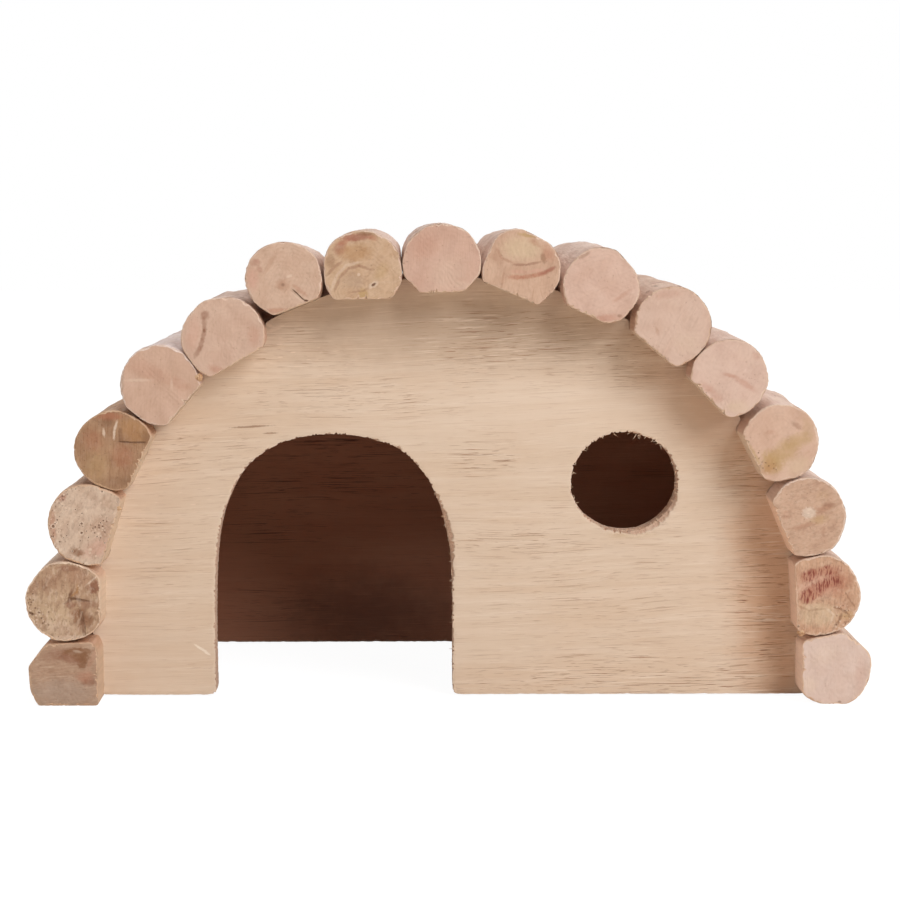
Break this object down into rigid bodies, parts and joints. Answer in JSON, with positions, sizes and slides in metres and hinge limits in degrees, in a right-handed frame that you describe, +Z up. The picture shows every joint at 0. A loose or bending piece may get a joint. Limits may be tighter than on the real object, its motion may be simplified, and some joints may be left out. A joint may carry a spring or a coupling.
{
  "type": "small pet house",
  "caption": "Hamster house: an arch of short branch logs pinned over round-topped plywood panels, with a doorway and a round window in the front and no floor board.",
  "frame": {"origin": "on the floor, in the middle of the house's overall width and depth", "axes": "+Z up; +Y from the front panel, with the doorway, to the rear panel, along the logs; +X to the right as seen from the front"},
  "size_m": [0.2014, 0.12, 0.1148],
  "materials": {
    "plywood": "bare pale plywood, sanded, fine dark pores along the grain",
    "log_wood": "bare debarked branch, sawn ends pinkish beige",
    "pin_steel": "plain steel wire, cut square"
  },
  "bodies": {
    "root": {"front_panel": "plywood", "rear_panel": "plywood", "roof_log_01": "log_wood", "roof_log_02": "log_wood", "roof_log_03": "log_wood", "roof_log_04": "log_wood", "roof_log_05": "log_wood", "roof_log_06": "log_wood", "roof_log_07": "log_wood", "roof_log_08": "log_wood", "roof_log_09": "log_wood", "roof_log_10": "log_wood", "roof_log_11": "log_wood", "roof_log_12": "log_wood", "roof_log_13": "log_wood", "roof_log_14": "log_wood", "roof_log_15": "log_wood", "roof_log_16": "log_wood", "roof_log_17": "log_wood", "front_pins": "pin_steel", "rear_pins": "pin_steel"}
  },
  "joints": []
}
